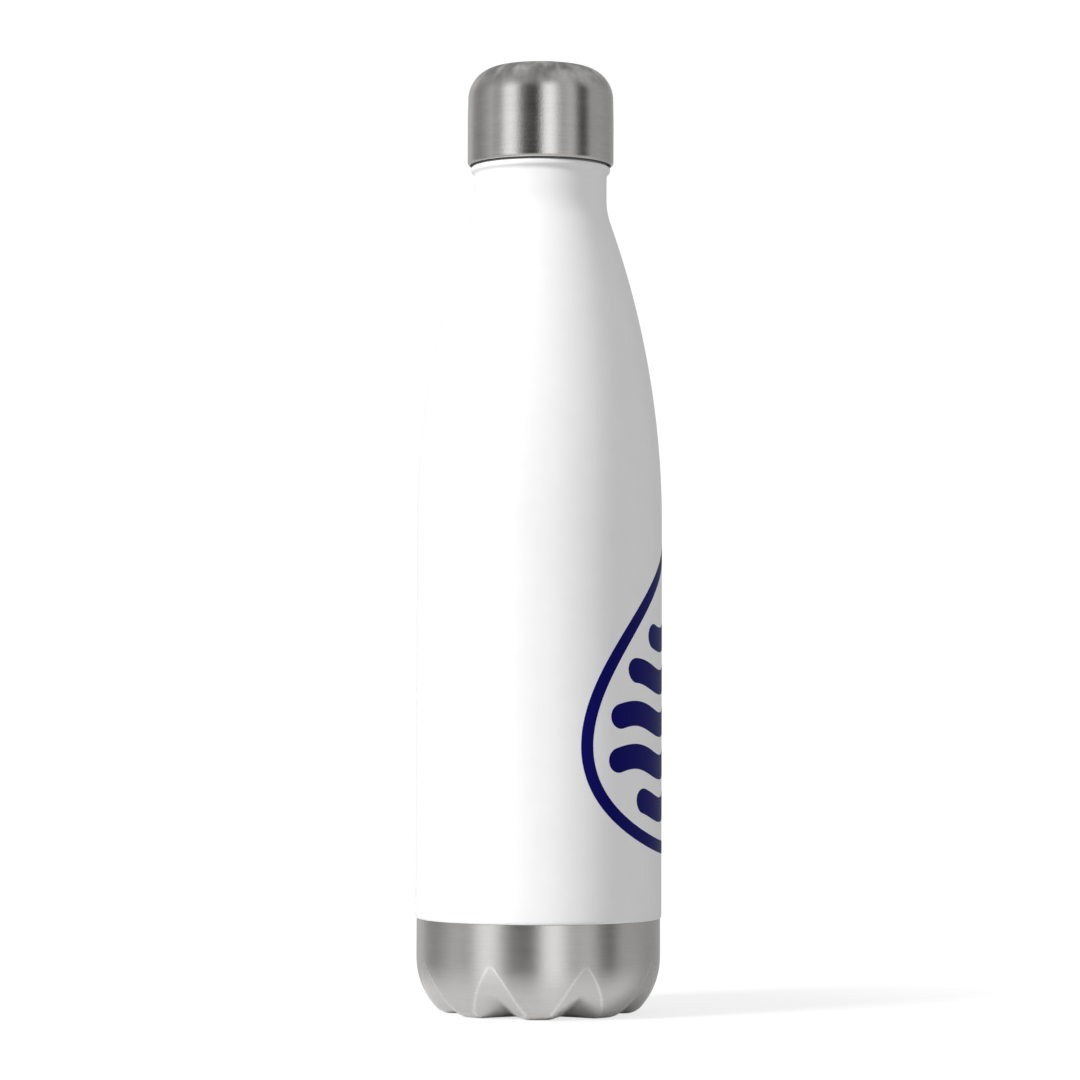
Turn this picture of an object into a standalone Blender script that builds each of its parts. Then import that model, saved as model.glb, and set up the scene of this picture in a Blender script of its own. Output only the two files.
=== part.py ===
"""Insulated water bottle: double steel wall, cola shoulder, fluted base and a screw cap.

The bottle stands on Z = 0 with its axis on Z. Lengths below are in millimetres and are
scaled to metres as the meshes are made. Positive turn of the cap about +Z unscrews it.
"""

from math import cos, pi, radians, sin, tan

import bmesh
import bpy
from mathutils import Matrix

MM = 0.001
STEPS = 36  # facets round a turned piece
SMALL_STEPS = 18  # facets round a small one
MERGE = 0.00001  # metres; points on the axis merge to one
GAP = 0.3  # clearance left between pieces that touch

# outer skin
BODY_R = 36.5
NECK_R = 19.8
SHOULDER_Z = 144.8  # top of the straight body
SHOULDER_ARC_R = 268.3
SHOULDER_SLOPE = 19.3  # degrees off vertical, at its steepest
NECK_ARC_R = 21.5
SHELL_FOOT_Z = 27.9
SHELL_WALL = 0.5
RIM_Z = 252.6  # top of the outer shell's bead
BEAD_R = 20.8
BEAD_FOOT_Z = 249.0
BEAD_LINE = ((20.2, 0.0), (20.65, -0.2), (BEAD_R, -0.6), (BEAD_R, -1.9), (20.55, -2.5),
             (20.05, -3.0))  # radius, and height from the rim
COAT_EDGE = (0.2, 0.4)  # depth and height of the taper at the shell's foot

# liner
VACUUM_GAP = 2.5
LINER_WALL = 0.4
LINER_INSET = SHELL_WALL + VACUUM_GAP
LINER_R = BODY_R - LINER_INSET
LINER_FOOT_Z = 37.5
RIM_FILLET = 0.8
RIM_SETBACK = 0.4  # the liner's flange stops this far inside the bead
BOTTOM_Z = 20.0  # underside of the liner's bottom
BOTTOM_CORNER_R = 12.0
BOTTOM_CROWN = 1.0
BOTTOM_LAP = 4.0  # height of the bottom's spigot inside the liner's foot
BOTTOM_JOGGLE = 1.0
FOIL_R = 34.1
FOIL_THICKNESS = 0.15
FOIL_Z = (44.0, 144.0)
GETTER_X = 12.0
GETTER_DROP = 0.7  # the pellet's top hangs this far below the clip's
CLIP_LINE = ((0.0, 0.0), (4.0, 0.0), (4.4, -0.4), (4.4, -2.8), (4.0, -2.8), (4.0, -0.6),
             (3.8, -0.4), (0.0, -0.4))  # radius, and height from the clip's top
PELLET_LINE = ((0.0, 0.0), (3.2, 0.0), (3.6, -0.4), (3.6, -1.9), (3.3, -2.2), (0.0, -2.2))

# base cup
CUP_R = 36.1
CUP_WALL = 0.6
CUP_ARC_Z = 16.65
CUP_ARC_R = 22.06
CUP_ARC_END = 41.0  # degrees below horizontal
SPIGOT_TOP_Z = 31.5
RECESS_R = 15.5
RECESS_DEPTH = 2.0
RECESS_DRAFT = 0.3
DIMPLE_R = 4.0
DIMPLE_DEPTH = 1.2
DIMPLE_DRAFT = 1.0
VENT_R = 1.0
VENT_CUT_TOP_Z = 6.0
DISC_Z = (0.9, 1.5)
DISC_CLEARANCE = 0.5
DISC_BEVEL = 0.2
SEAL_STEM = 1.2  # height of the solder glass above the dimple's roof
SEAL_DOME = ((2.4, 0.0), (2.1, -0.4), (1.3, -0.7), (0.0, -0.8))  # radius, and height

# flutes between the feet
FLUTES = 8
FLUTE_ARC_R = 21.5
FLUTE_AXIS_R = 14.6  # distance of the flute arc's centre from the bottle's axis
FLUTE_TOP_Z = 17.5
FLUTE_ARC_END = 75.0  # degrees below horizontal
FLUTE_HALF_WIDTH = 14.0
TUNNEL_TIP_R = 18.6
TUNNEL_RISE = 0.44  # height of the tunnel's roof per unit of radius
TUNNEL_SPREAD = 0.71  # half-width on the floor per unit of radius
TUNNEL_TIP_Z = -0.9
TUNNEL_LIFT = 1.26  # rise of the roof per unit of wall, which keeps the wall's thickness
TUNNEL_MOUTH_R = 44.0
TUNNEL_BOTTOM_Z = -2.0

# cap
CAP_R = 21.84
CAP_WALL = 0.5
CAP_LIP_Z = 252.0
DOME_Z = 271.9
DOME_CORNER_R = 9.6
DOME_CORNER_END = 79.0  # degrees above horizontal
SKIRT_R = 21.72  # radius where the dome's corner starts
SKIRT_TOP_Z = 265.8
LIP_LINE = ((0.0, 1.0), (-0.12, 0.4), (-0.3, 0.0))  # from the cap's radius, from its lip

# plug
FLANGE_R = 20.9
FLANGE_Z = 255.95
SOCKET_TOP_Z = 269.0
STEP_R = 16.0
STEP_Z = 252.8
PLUG_R = 14.7
PLUG_WALL = 2.0
PLUG_FOOT_Z = 233.0
PLUG_CORNER_R = 1.5
PLUG_CHAMFER = 0.8
SOCKET_WALL = 1.6
SEAL_R = (16.3, 20.4)
SEAL_THICKNESS = 2.0
SEAL_EDGE = 0.4
FOAM_CHAMFER = 0.5

# screw thread, right-handed
PITCH = 4.5
POINTS_PER_TURN = 24
LINER_THREAD = {"r": 16.35, "wire": 0.95, "z": 242.4, "turns": 1.6}
PLUG_THREAD = {"r": 14.95, "wire": 1.0, "z": 242.4 - 1.5 * PITCH + 0.25, "turns": 2.4}

# colour, roughness and metallic value of each piece
FINISHES = {
    "outer_shell": ((0.93, 0.93, 0.93), 0.3, 0.0),
    "base_cup": ((0.62, 0.61, 0.6), 0.34, 1.0),
    "inner_vessel": ((0.66, 0.65, 0.63), 0.3, 1.0),
    "inner_bottom": ((0.66, 0.65, 0.63), 0.3, 1.0),
    "copper_foil": ((0.83, 0.45, 0.28), 0.25, 1.0),
    "getter_clip": ((0.6, 0.6, 0.6), 0.4, 1.0),
    "getter_pellet": ((0.2, 0.2, 0.21), 0.8, 0.0),
    "vacuum_seal": ((0.12, 0.13, 0.14), 0.25, 0.0),
    "base_disc": ((0.6, 0.59, 0.58), 0.36, 1.0),
    "seal_ring": ((0.82, 0.82, 0.8), 0.55, 0.0),
    "plug_body": ((0.03, 0.03, 0.032), 0.45, 0.0),
    "foam_core": ((0.85, 0.85, 0.82), 0.9, 0.0),
    "cap_shell": ((0.6, 0.59, 0.58), 0.32, 1.0),
}


def arc(centre_r, centre_z, radius, start, end, segments):
    """Points along an arc in the (r, z) plane; angles in degrees."""
    angles = [radians(start + (end - start) * i / segments) for i in range(segments + 1)]
    return [(centre_r + radius * cos(a), centre_z + radius * sin(a)) for a in angles]


def shoulder(inset, neck_segments, body_segments):
    """Neck foot down to body top, on a surface set in from the outer skin."""
    slope = radians(SHOULDER_SLOPE)
    big = SHOULDER_ARC_R - inset
    small = NECK_ARC_R + inset
    upper_r = BODY_R - inset - big * (1 - cos(slope))
    lower_r = NECK_R - inset + small * (1 - cos(slope))
    neck_z = SHOULDER_Z + (big + small) * sin(slope) + (upper_r - lower_r) / tan(slope)
    neck = arc(NECK_R - inset + small, neck_z, small, 180, 180 + SHOULDER_SLOPE, neck_segments)
    body = arc(BODY_R - inset - big, SHOULDER_Z, big, SHOULDER_SLOPE, 0, body_segments)
    return neck + body


def new_collection(name):
    collection = bpy.data.collections.new(name)
    bpy.context.scene.collection.children.link(collection)
    return collection


def material(name, colour, roughness, metallic):
    made = bpy.data.materials.new(name)
    made.use_nodes = True
    shader = made.node_tree.nodes["Principled BSDF"]
    shader.inputs["Base Color"].default_value = (*colour, 1.0)
    shader.inputs["Roughness"].default_value = roughness
    shader.inputs["Metallic"].default_value = metallic
    return made


def add_object(name, data, collection):
    made = bpy.data.objects.new(name, data)
    collection.objects.link(made)
    return made


def mark_cutter(cutter):
    cutter.hide_render = True
    cutter.display_type = "WIRE"


def mesh_from_curve(curve, turn, collection):
    """The curve's solid as a clean closed mesh; turn is the curve's rotation about X."""
    source = add_object(curve.name, curve, collection)
    source.rotation_euler = (turn, 0, 0)
    bpy.context.view_layer.update()
    graph = bpy.context.evaluated_depsgraph_get()
    mesh = bpy.data.meshes.new_from_object(source.evaluated_get(graph))
    mesh.transform(source.matrix_world)
    bpy.data.objects.remove(source)
    solid = bmesh.new()
    solid.from_mesh(mesh)
    bmesh.ops.remove_doubles(solid, verts=solid.verts, dist=MERGE)
    bmesh.ops.recalc_face_normals(solid, faces=solid.faces)
    solid.to_mesh(mesh)
    solid.free()
    return mesh


def turned(name, profile, collection, wall=0.0, ring=False, steps=STEPS):
    """Turn an (r, z) profile about Z; a wall makes an open line a shell, a ring's line closes."""
    mesh = bpy.data.meshes.new(name)
    points = [(r * MM, 0.0, z * MM) for r, z in profile]
    edges = [(i, i + 1) for i in range(len(points) - 1)]
    if ring:
        edges.append((len(points) - 1, 0))
    mesh.from_pydata(points, edges, [])
    made = add_object(name, mesh, collection)
    screw = made.modifiers.new("turn", "SCREW")
    screw.steps = steps
    screw.render_steps = steps
    screw.use_merge_vertices = True
    screw.merge_threshold = MERGE
    screw.use_smooth_shade = True
    if wall:
        shell = made.modifiers.new("wall", "SOLIDIFY")
        shell.thickness = wall * MM
        shell.offset = -1.0
        shell.use_even_offset = True
    return made


def boolean(target, other, operation):
    step = target.modifiers.new(operation.lower(), "BOOLEAN")
    step.operation = operation
    step.solver = "EXACT"
    step.object = other


def helix(name, thread, collection):
    """A round ridge along a right-handed helix, as a closed mesh."""
    count = int(thread["turns"] * POINTS_PER_TURN) + 1
    curve = bpy.data.curves.new(name, "CURVE")
    curve.dimensions = "3D"
    curve.bevel_depth = thread["wire"] * MM
    curve.bevel_resolution = 1
    curve.use_fill_caps = True
    spline = curve.splines.new("POLY")
    spline.points.add(count - 1)
    for i, point in enumerate(spline.points):
        angle = 2 * pi * i / POINTS_PER_TURN
        z = thread["z"] + PITCH * i / POINTS_PER_TURN
        point.co = (thread["r"] * cos(angle) * MM, thread["r"] * sin(angle) * MM, z * MM, 1)
    ridge = add_object(name, mesh_from_curve(curve, 0.0, collection), collection)
    mark_cutter(ridge)
    return ridge


def make_outer_shell(collection):
    depth, height = COAT_EDGE
    bead = [(r, RIM_Z + z) for r, z in BEAD_LINE] + [(NECK_R, BEAD_FOOT_Z)]
    foot = [(BODY_R, SHELL_FOOT_Z + height), (BODY_R - depth, SHELL_FOOT_Z)]
    return turned("outer_shell", bead + shoulder(0, 4, 7) + foot, collection, SHELL_WALL)


def make_inner_vessel(collection, cutters):
    """Liner tube with its rim turned out over the shell's bead, and the rolled thread."""
    rim_z = RIM_Z + GAP
    neck_r = NECK_R - LINER_INSET
    fillet = arc(neck_r + RIM_FILLET, rim_z - RIM_FILLET, RIM_FILLET, 90, 180, 3)
    line = [(BEAD_R - RIM_SETBACK, rim_z)] + fillet + shoulder(LINER_INSET, 3, 5)
    line.append((LINER_R, LINER_FOOT_Z))
    liner = turned("inner_vessel", line, collection, LINER_WALL)
    boolean(liner, helix("liner_thread", LINER_THREAD, cutters), "UNION")
    return liner


def make_inner_bottom(collection):
    """Dished bottom, joggled to fit inside the liner's foot."""
    spigot_r = LINER_R - LINER_WALL - GAP
    corner_z = BOTTOM_Z + BOTTOM_CORNER_R
    corner = arc(LINER_R - BOTTOM_CORNER_R, corner_z, BOTTOM_CORNER_R, 0, -90, 4)
    line = [(spigot_r, LINER_FOOT_Z + BOTTOM_LAP), (spigot_r, LINER_FOOT_Z)]
    line += [(LINER_R, LINER_FOOT_Z - BOTTOM_JOGGLE)]
    line += corner + [(0, BOTTOM_Z + BOTTOM_CROWN)]
    return turned("inner_bottom", line, collection, LINER_WALL)


def make_copper_foil(collection):
    low, high = FOIL_Z
    return turned("copper_foil", [(FOIL_R, high), (FOIL_R, low)], collection, FOIL_THICKNESS)


def cup_line(inset, top_z):
    """Solid profile of the cup's outside, or of the space inside it when set in by the wall."""
    arc_end = radians(CUP_ARC_END)
    fillet_r = (CUP_ARC_Z - CUP_ARC_R * sin(arc_end)) / (1 - sin(arc_end))
    fillet_axis_r = CUP_R - CUP_ARC_R * (1 - cos(arc_end)) - fillet_r * cos(arc_end)
    side = arc(CUP_R - CUP_ARC_R, CUP_ARC_Z, CUP_ARC_R - inset, 0, -CUP_ARC_END, 6)
    foot = arc(fillet_axis_r, fillet_r, fillet_r - inset, -CUP_ARC_END, -90, 3)
    spigot_r = BODY_R - SHELL_WALL - GAP - inset
    ledge_z = SHELL_FOOT_Z - GAP - inset
    recess_z = RECESS_DEPTH + inset
    dimple_z = recess_z + DIMPLE_DEPTH
    line = [(0, top_z), (spigot_r, top_z), (spigot_r, ledge_z), (CUP_R - inset, ledge_z)]
    line += side + foot[1:]
    line += [(RECESS_R + inset, inset), (RECESS_R + inset - RECESS_DRAFT, recess_z)]
    line += [(DIMPLE_R + inset + DIMPLE_DRAFT, recess_z), (DIMPLE_R + inset, dimple_z)]
    line.append((0, dimple_z))
    return line


def flute_slab(name, inset, collection):
    """The flute's upper face: a side outline with one curved edge, extruded across."""
    face = arc(FLUTE_AXIS_R, FLUTE_TOP_Z, FLUTE_ARC_R - inset, 0, -FLUTE_ARC_END, 10)
    outline = face + [(TUNNEL_MOUTH_R, face[-1][1]), (TUNNEL_MOUTH_R, FLUTE_TOP_Z)]
    curve = bpy.data.curves.new(name, "CURVE")
    curve.dimensions = "2D"
    curve.fill_mode = "BOTH"
    curve.extrude = FLUTE_HALF_WIDTH * MM
    spline = curve.splines.new("POLY")
    spline.points.add(len(outline) - 1)
    for point, (r, z) in zip(spline.points, outline):
        point.co = (r * MM, z * MM, 0, 1)
    spline.use_cyclic_u = True
    return mesh_from_curve(curve, pi / 2, collection)


def flute_tunnel(name, inset):
    """The flute's lower part: a three-sided cone lying on the floor with its tip inwards."""
    lift = TUNNEL_LIFT * inset
    tip_r = TUNNEL_TIP_R + TUNNEL_TIP_Z / TUNNEL_RISE
    tip_z = TUNNEL_TIP_Z + lift
    peak_z = TUNNEL_RISE * (TUNNEL_MOUTH_R - TUNNEL_TIP_R) + lift
    height = peak_z - TUNNEL_BOTTOM_Z
    half_width = height * TUNNEL_SPREAD / TUNNEL_RISE
    middle_z = TUNNEL_BOTTOM_Z + height / 3
    place = Matrix((
        (0, 0, tip_r - TUNNEL_MOUTH_R, (tip_r + TUNNEL_MOUTH_R) / 2),
        (half_width / sin(pi / 3), 0, 0, 0),
        (0, height / 1.5, tip_z - middle_z, (tip_z + middle_z) / 2),
        (0, 0, 0, 1),
    ))
    mesh = bpy.data.meshes.new(name)
    cone = bmesh.new()
    bmesh.ops.create_cone(cone, cap_ends=True, segments=3, radius1=1, radius2=0, depth=1)
    bmesh.ops.transform(cone, matrix=place, verts=cone.verts)
    bmesh.ops.scale(cone, vec=(MM, MM, MM), verts=cone.verts)
    bmesh.ops.recalc_face_normals(cone, faces=cone.faces)
    cone.to_mesh(mesh)
    cone.free()
    return mesh


def flute_set(name, inset, cutters):
    """A collection of slabs and tunnels, one pair for each flute."""
    group = bpy.data.collections.new(name)
    cutters.children.link(group)
    slab = flute_slab(name + "_slab", inset, group)
    tunnel = flute_tunnel(name + "_tunnel", inset)
    for i in range(FLUTES):
        for mesh in (slab, tunnel):
            cutter = add_object(f"{mesh.name}_{i + 1}", mesh, group)
            cutter.rotation_euler.z = 2 * pi * (i + 0.5) / FLUTES
            mark_cutter(cutter)
    return group


def cut_collection(target, group):
    step = target.modifiers.new("flutes", "BOOLEAN")
    step.operation = "DIFFERENCE"
    step.solver = "EXACT"
    step.operand_type = "COLLECTION"
    step.collection = group


def cylinder(name, radius, low, high, collection):
    mesh = bpy.data.meshes.new(name)
    solid = bmesh.new()
    bmesh.ops.create_cone(solid, cap_ends=True, segments=24, radius1=radius * MM,
                          radius2=radius * MM, depth=(high - low) * MM)
    solid.to_mesh(mesh)
    solid.free()
    made = add_object(name, mesh, collection)
    made.location.z = (low + high) / 2 * MM
    return made


def make_base_cup(collection, cutters):
    """Pressed steel cup: the fluted outside less the fluted space inside it."""
    space = turned("cup_space", cup_line(CUP_WALL, SPIGOT_TOP_Z + 1), cutters)
    cut_collection(space, flute_set("inner_flutes", CUP_WALL, cutters))
    mark_cutter(space)
    vent = cylinder("vent_hole", VENT_R, 0.0, VENT_CUT_TOP_Z, cutters)
    mark_cutter(vent)
    cup = turned("base_cup", cup_line(0.0, SPIGOT_TOP_Z), collection)
    cut_collection(cup, flute_set("outer_flutes", 0.0, cutters))
    boolean(cup, space, "DIFFERENCE")
    boolean(cup, vent, "DIFFERENCE")
    return cup


def make_vacuum_seal(collection):
    """Bead of solder glass: a stem in the vent with a low dome in the dimple below it."""
    under_z = RECESS_DEPTH + DIMPLE_DEPTH - GAP
    stem_r = VENT_R - GAP
    line = [(0, under_z + SEAL_STEM), (stem_r, under_z + SEAL_STEM - 0.2), (stem_r, under_z)]
    line += [(r, under_z + z) for r, z in SEAL_DOME]
    return turned("vacuum_seal", line, collection, steps=SMALL_STEPS)


def make_base_disc(collection):
    low, high = DISC_Z
    disc_r = RECESS_R - DISC_CLEARANCE
    line = [(0, high), (disc_r, high), (disc_r, low + DISC_BEVEL), (disc_r - DISC_BEVEL, low)]
    return turned("base_disc", line + [(0, low)], collection)


def make_getter_clip(collection):
    """Small steel dish spot-welded under the liner's bottom; it holds the getter."""
    line = [(r, BOTTOM_Z - GAP + z) for r, z in CLIP_LINE]
    clip = turned("getter_clip", line, collection, steps=SMALL_STEPS)
    clip.location.x = GETTER_X * MM
    return clip


def make_getter_pellet(collection):
    line = [(r, BOTTOM_Z - GAP - GETTER_DROP + z) for r, z in PELLET_LINE]
    pellet = turned("getter_pellet", line, collection, steps=SMALL_STEPS)
    pellet.location.x = GETTER_X * MM
    return pellet


def make_cap_shell(collection):
    """Domed steel cup: a wide crown arc, a corner arc, a straight skirt and a rounded lip."""
    corner_r = SKIRT_R - DOME_CORNER_R
    end = radians(DOME_CORNER_END)
    crown_r = (corner_r + DOME_CORNER_R * cos(end)) / cos(end)
    crown_z = DOME_Z + DOME_CORNER_R * sin(end) - crown_r * sin(end)
    line = arc(0, crown_z, crown_r, 90, DOME_CORNER_END, 3)[:-1]
    line += arc(corner_r, DOME_Z, DOME_CORNER_R, DOME_CORNER_END, 0, 6)
    line += [(CAP_R, SKIRT_TOP_Z)] + [(CAP_R + r, CAP_LIP_Z + z) for r, z in LIP_LINE]
    return turned("cap_shell", line, collection, CAP_WALL)


def make_plug_body(collection, cutters):
    """Hollow screw plug: a socket that sits in the cap shell, a flange and a threaded tube."""
    bore_r = PLUG_R - PLUG_WALL
    socket_r = FLANGE_R - SOCKET_WALL
    corner = arc(PLUG_R - PLUG_CORNER_R, PLUG_FOOT_Z + PLUG_CORNER_R, PLUG_CORNER_R, 0, -90, 3)
    line = [(0, PLUG_FOOT_Z + PLUG_WALL), (bore_r, PLUG_FOOT_Z + PLUG_WALL)]
    line += [(bore_r, FLANGE_Z + PLUG_WALL), (socket_r, FLANGE_Z + PLUG_WALL)]
    line += [(socket_r, SOCKET_TOP_Z), (FLANGE_R, SOCKET_TOP_Z), (FLANGE_R, FLANGE_Z)]
    line += [(STEP_R, FLANGE_Z), (STEP_R, STEP_Z), (PLUG_R, STEP_Z - PLUG_CHAMFER)]
    plug = turned("plug_body", line + corner + [(0, PLUG_FOOT_Z)], collection)
    boolean(plug, helix("plug_thread", PLUG_THREAD, cutters), "UNION")
    return plug


def make_foam_core(collection):
    foam_r = PLUG_R - PLUG_WALL - GAP
    low = PLUG_FOOT_Z + PLUG_WALL + GAP
    line = [(0, SOCKET_TOP_Z), (foam_r - FOAM_CHAMFER, SOCKET_TOP_Z)]
    line += [(foam_r, SOCKET_TOP_Z - FOAM_CHAMFER), (foam_r, low), (0, low)]
    return turned("foam_core", line, collection)


def make_seal_ring(collection):
    """Silicone ring with rounded edges, between the plug's flange and the mouth's rim."""
    inner, outer = SEAL_R
    high = FLANGE_Z - GAP
    low = high - SEAL_THICKNESS
    edge = outer - SEAL_EDGE
    line = [(inner, high), (edge, high), (outer, high - SEAL_EDGE), (outer, low + SEAL_EDGE)]
    line += [(edge, low), (inner, low)]
    return turned("seal_ring", line, collection, ring=True)


def paint(pieces):
    """One material for each piece, from its colour, roughness and metallic value."""
    for piece in pieces:
        colour, roughness, metallic = FINISHES[piece.name]
        piece.data.materials.append(material(piece.name, colour, roughness, metallic))


def main():
    for leftover in list(bpy.data.objects):
        bpy.data.objects.remove(leftover)
    bottle = new_collection("water_bottle")
    cutters = new_collection("cutters")
    fixed = [
        make_outer_shell(bottle),
        make_base_cup(bottle, cutters),
        make_inner_vessel(bottle, cutters),
        make_inner_bottom(bottle),
        make_copper_foil(bottle),
        make_getter_clip(bottle),
        make_getter_pellet(bottle),
        make_vacuum_seal(bottle),
        make_base_disc(bottle),
    ]
    turning = [
        make_seal_ring(bottle),
        make_plug_body(bottle, cutters),
        make_foam_core(bottle),
        make_cap_shell(bottle),
    ]
    paint(fixed + turning)
    cap_axis = add_object("cap_axis", None, bottle)
    for piece in turning:
        piece.parent = cap_axis


main()
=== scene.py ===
"""Insulated water bottle: finished pieces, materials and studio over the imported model.

Lengths in the profiles are millimetres; MM scales them to the frame's metres. Profiles are
lists of (r, z) points that run down a piece's outer side, from top to bottom.
"""

from math import atan2, cos, pi, radians, sin, sqrt, tan

import bmesh
import bpy
import numpy as np
from mathutils import Matrix, Vector


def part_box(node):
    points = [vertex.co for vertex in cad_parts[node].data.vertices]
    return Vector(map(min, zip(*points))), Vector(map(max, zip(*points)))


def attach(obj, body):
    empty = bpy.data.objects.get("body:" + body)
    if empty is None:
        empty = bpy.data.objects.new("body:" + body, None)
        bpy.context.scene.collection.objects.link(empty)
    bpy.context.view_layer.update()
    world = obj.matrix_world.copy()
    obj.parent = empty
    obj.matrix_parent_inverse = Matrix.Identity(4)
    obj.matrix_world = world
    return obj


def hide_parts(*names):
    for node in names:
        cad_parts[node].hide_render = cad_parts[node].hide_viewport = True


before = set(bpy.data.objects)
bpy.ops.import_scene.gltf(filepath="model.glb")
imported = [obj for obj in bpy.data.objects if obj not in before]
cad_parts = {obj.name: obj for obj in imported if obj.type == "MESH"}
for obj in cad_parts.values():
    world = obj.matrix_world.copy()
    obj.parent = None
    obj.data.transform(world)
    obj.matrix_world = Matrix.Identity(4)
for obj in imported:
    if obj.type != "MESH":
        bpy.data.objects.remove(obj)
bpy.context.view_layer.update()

MM = 0.001


def low_mm(node):
    """A node's lowest corner in millimetres."""
    return [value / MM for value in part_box(node)[0]]


def high_mm(node):
    """A node's highest corner in millimetres."""
    return [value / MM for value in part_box(node)[1]]


# Driving sizes, read from the model
BODY_R = high_mm("outer_shell")[0]
SHELL_TOP = high_mm("outer_shell")[2]
SHELL_FOOT = low_mm("outer_shell")[2]
LINER_R = high_mm("inner_vessel")[0]
LINER_TOP = high_mm("inner_vessel")[2]
LINER_FOOT = low_mm("inner_vessel")[2]
BOTTOM_Z = low_mm("inner_bottom")[2]
BOTTOM_TOP = high_mm("inner_bottom")[2]
CUP_R = high_mm("base_cup")[0]
CUP_TOP = high_mm("base_cup")[2]
CAP_R = high_mm("cap_shell")[0]
CAP_TOP = high_mm("cap_shell")[2]
CAP_LIP = low_mm("cap_shell")[2]
FLANGE_R = high_mm("plug_body")[0]
SOCKET_TOP = high_mm("plug_body")[2]
PLUG_FOOT = low_mm("plug_body")[2]
SEAL_R = high_mm("seal_ring")[0]
SEAL_LOW = low_mm("seal_ring")[2]
SEAL_TOP = high_mm("seal_ring")[2]
DISC_R = high_mm("base_disc")[0]
DISC_LOW = low_mm("base_disc")[2]
DISC_TOP = high_mm("base_disc")[2]

# Sizes the boxes do not give
INK = 0.04  # thickness of the print; the coat lies this much inside the model's skin
SHELL_WALL = 0.5
NECK_R = 19.8
SHOULDER_Z = 144.8
SHOULDER_ARC_R = 268.3
SHOULDER_SLOPE = 19.3
NECK_ARC_R = 21.5
BEAD_R = 20.8
BEAD_TOP = 251.5
COLLAR_R = 19.3
LINER_INSET = BODY_R - LINER_R
LINER_WALL = 0.4
CUP_ARC_Z = 16.65
CUP_ARC_R = 22.06
CUP_ARC_END = 41.0
CUP_WALL = 0.6
FLUTES = 8
FLUTE_ARC_R = 21.5
FLUTE_AXIS_R = 14.6
FLUTE_TOP = 17.5
FLUTE_TIP = 16.4  # height of the flutes' points
FLUTE_SPREAD = (0.78, 0.0175)  # their half-width grows so with distance below the point
TUNNEL_TIP_R = 18.6
TUNNEL_RISE = 0.44
TUNNEL_SPREAD = 0.71
RECESS_R = 15.5
RECESS_DEPTH = 2.0
DOME_Z = 271.9
DOME_CORNER_R = 9.6
DOME_CORNER_END = 79.0
SKIRT_R = 21.72
CAP_WALL = 0.5
PLUG_R = 14.7
SHADE_SKIRT_OUT = 20.82  # the plug's thin black edge, which stands for the shade in the gap under the cap's lip as a dark line
SHADE_SKIRT_IN = 20.52
SHADE_SKIRT_LOW = 251.8
PITCH = 4.5
THREAD_Z = 242.4

ROUND = 192  # columns round a turned piece


# Profiles

def arc(centre_r, centre_z, radius, start, end, segments):
    """Points along an arc; angles in degrees, 0 outward and 90 up."""
    angles = [radians(start + (end - start) * i / segments) for i in range(segments + 1)]
    return [(centre_r + radius * cos(a), centre_z + radius * sin(a)) for a in angles]


def straight(start, end, step):
    """Points from start up to but not including end, at most a step apart."""
    count = max(1, round(sqrt((end[0] - start[0]) ** 2 + (end[1] - start[1]) ** 2) / step))
    return [(start[0] + (end[0] - start[0]) * i / count,
             start[1] + (end[1] - start[1]) * i / count) for i in range(count)]


def shoulder(inset):
    """Neck foot down to body top, on a surface set in from the outer skin."""
    slope = radians(SHOULDER_SLOPE)
    big = SHOULDER_ARC_R - inset
    small = NECK_ARC_R + inset
    upper_r = BODY_R - inset - big * (1 - cos(slope))
    lower_r = NECK_R - inset + small * (1 - cos(slope))
    neck_z = SHOULDER_Z + (big + small) * sin(slope) + (upper_r - lower_r) / tan(slope)
    neck = arc(NECK_R - inset + small, neck_z, small, 180, 180 + SHOULDER_SLOPE, 14)
    body = arc(BODY_R - inset - big, SHOULDER_Z, big, SHOULDER_SLOPE, 0, 48)
    return neck[:-1] + straight(neck[-1], body[0], 1.5) + body


def inside(line, wall):
    """The line moved in by the wall, measured square to it, in the same order."""
    points = np.array(line)
    along = np.gradient(points, axis=0)
    along /= np.linalg.norm(along, axis=1)[:, None]
    outward = np.stack([-along[:, 1], along[:, 0]], axis=1)
    moved = points - outward * wall
    moved[:, 0] = np.maximum(moved[:, 0], 0.0)
    return [tuple(point) for point in moved]


def walled(line, wall):
    """A closed loop round a wall: down its outer side and back up its inner side."""
    return line + inside(line, wall)[::-1]


# Meshes

def grid(name, rings, loop, mat):
    """A closed skin over rings of points; a ring on the axis becomes one point."""
    points = []
    index = []
    for ring in rings:
        if np.hypot(ring[:, 0], ring[:, 1]).max() < 1e-4:
            index.append([len(points)] * len(ring))
            points.append(ring[0])
        else:
            index.append(list(range(len(points), len(points) + len(ring))))
            points.extend(ring)
    faces = []
    rows = list(zip(index, index[1:]))
    if loop:
        rows.append((index[-1], index[0]))
    for upper, lower in rows:
        count = len(upper)
        for j in range(count):
            k = (j + 1) % count
            corners = [upper[j], lower[j], lower[k], upper[k]]
            face = [c for i, c in enumerate(corners) if c != corners[i - 1]]
            if len(face) > 2:
                faces.append(face)
    mesh = bpy.data.meshes.new(name)
    mesh.from_pydata((np.array(points) * MM).tolist(), [], faces)
    mesh.shade_smooth()
    mesh.set_sharp_from_angle(angle=radians(38))
    mesh.materials.append(mat)
    made = bpy.data.objects.new(name, mesh)
    bpy.context.scene.collection.objects.link(made)
    return made


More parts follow.
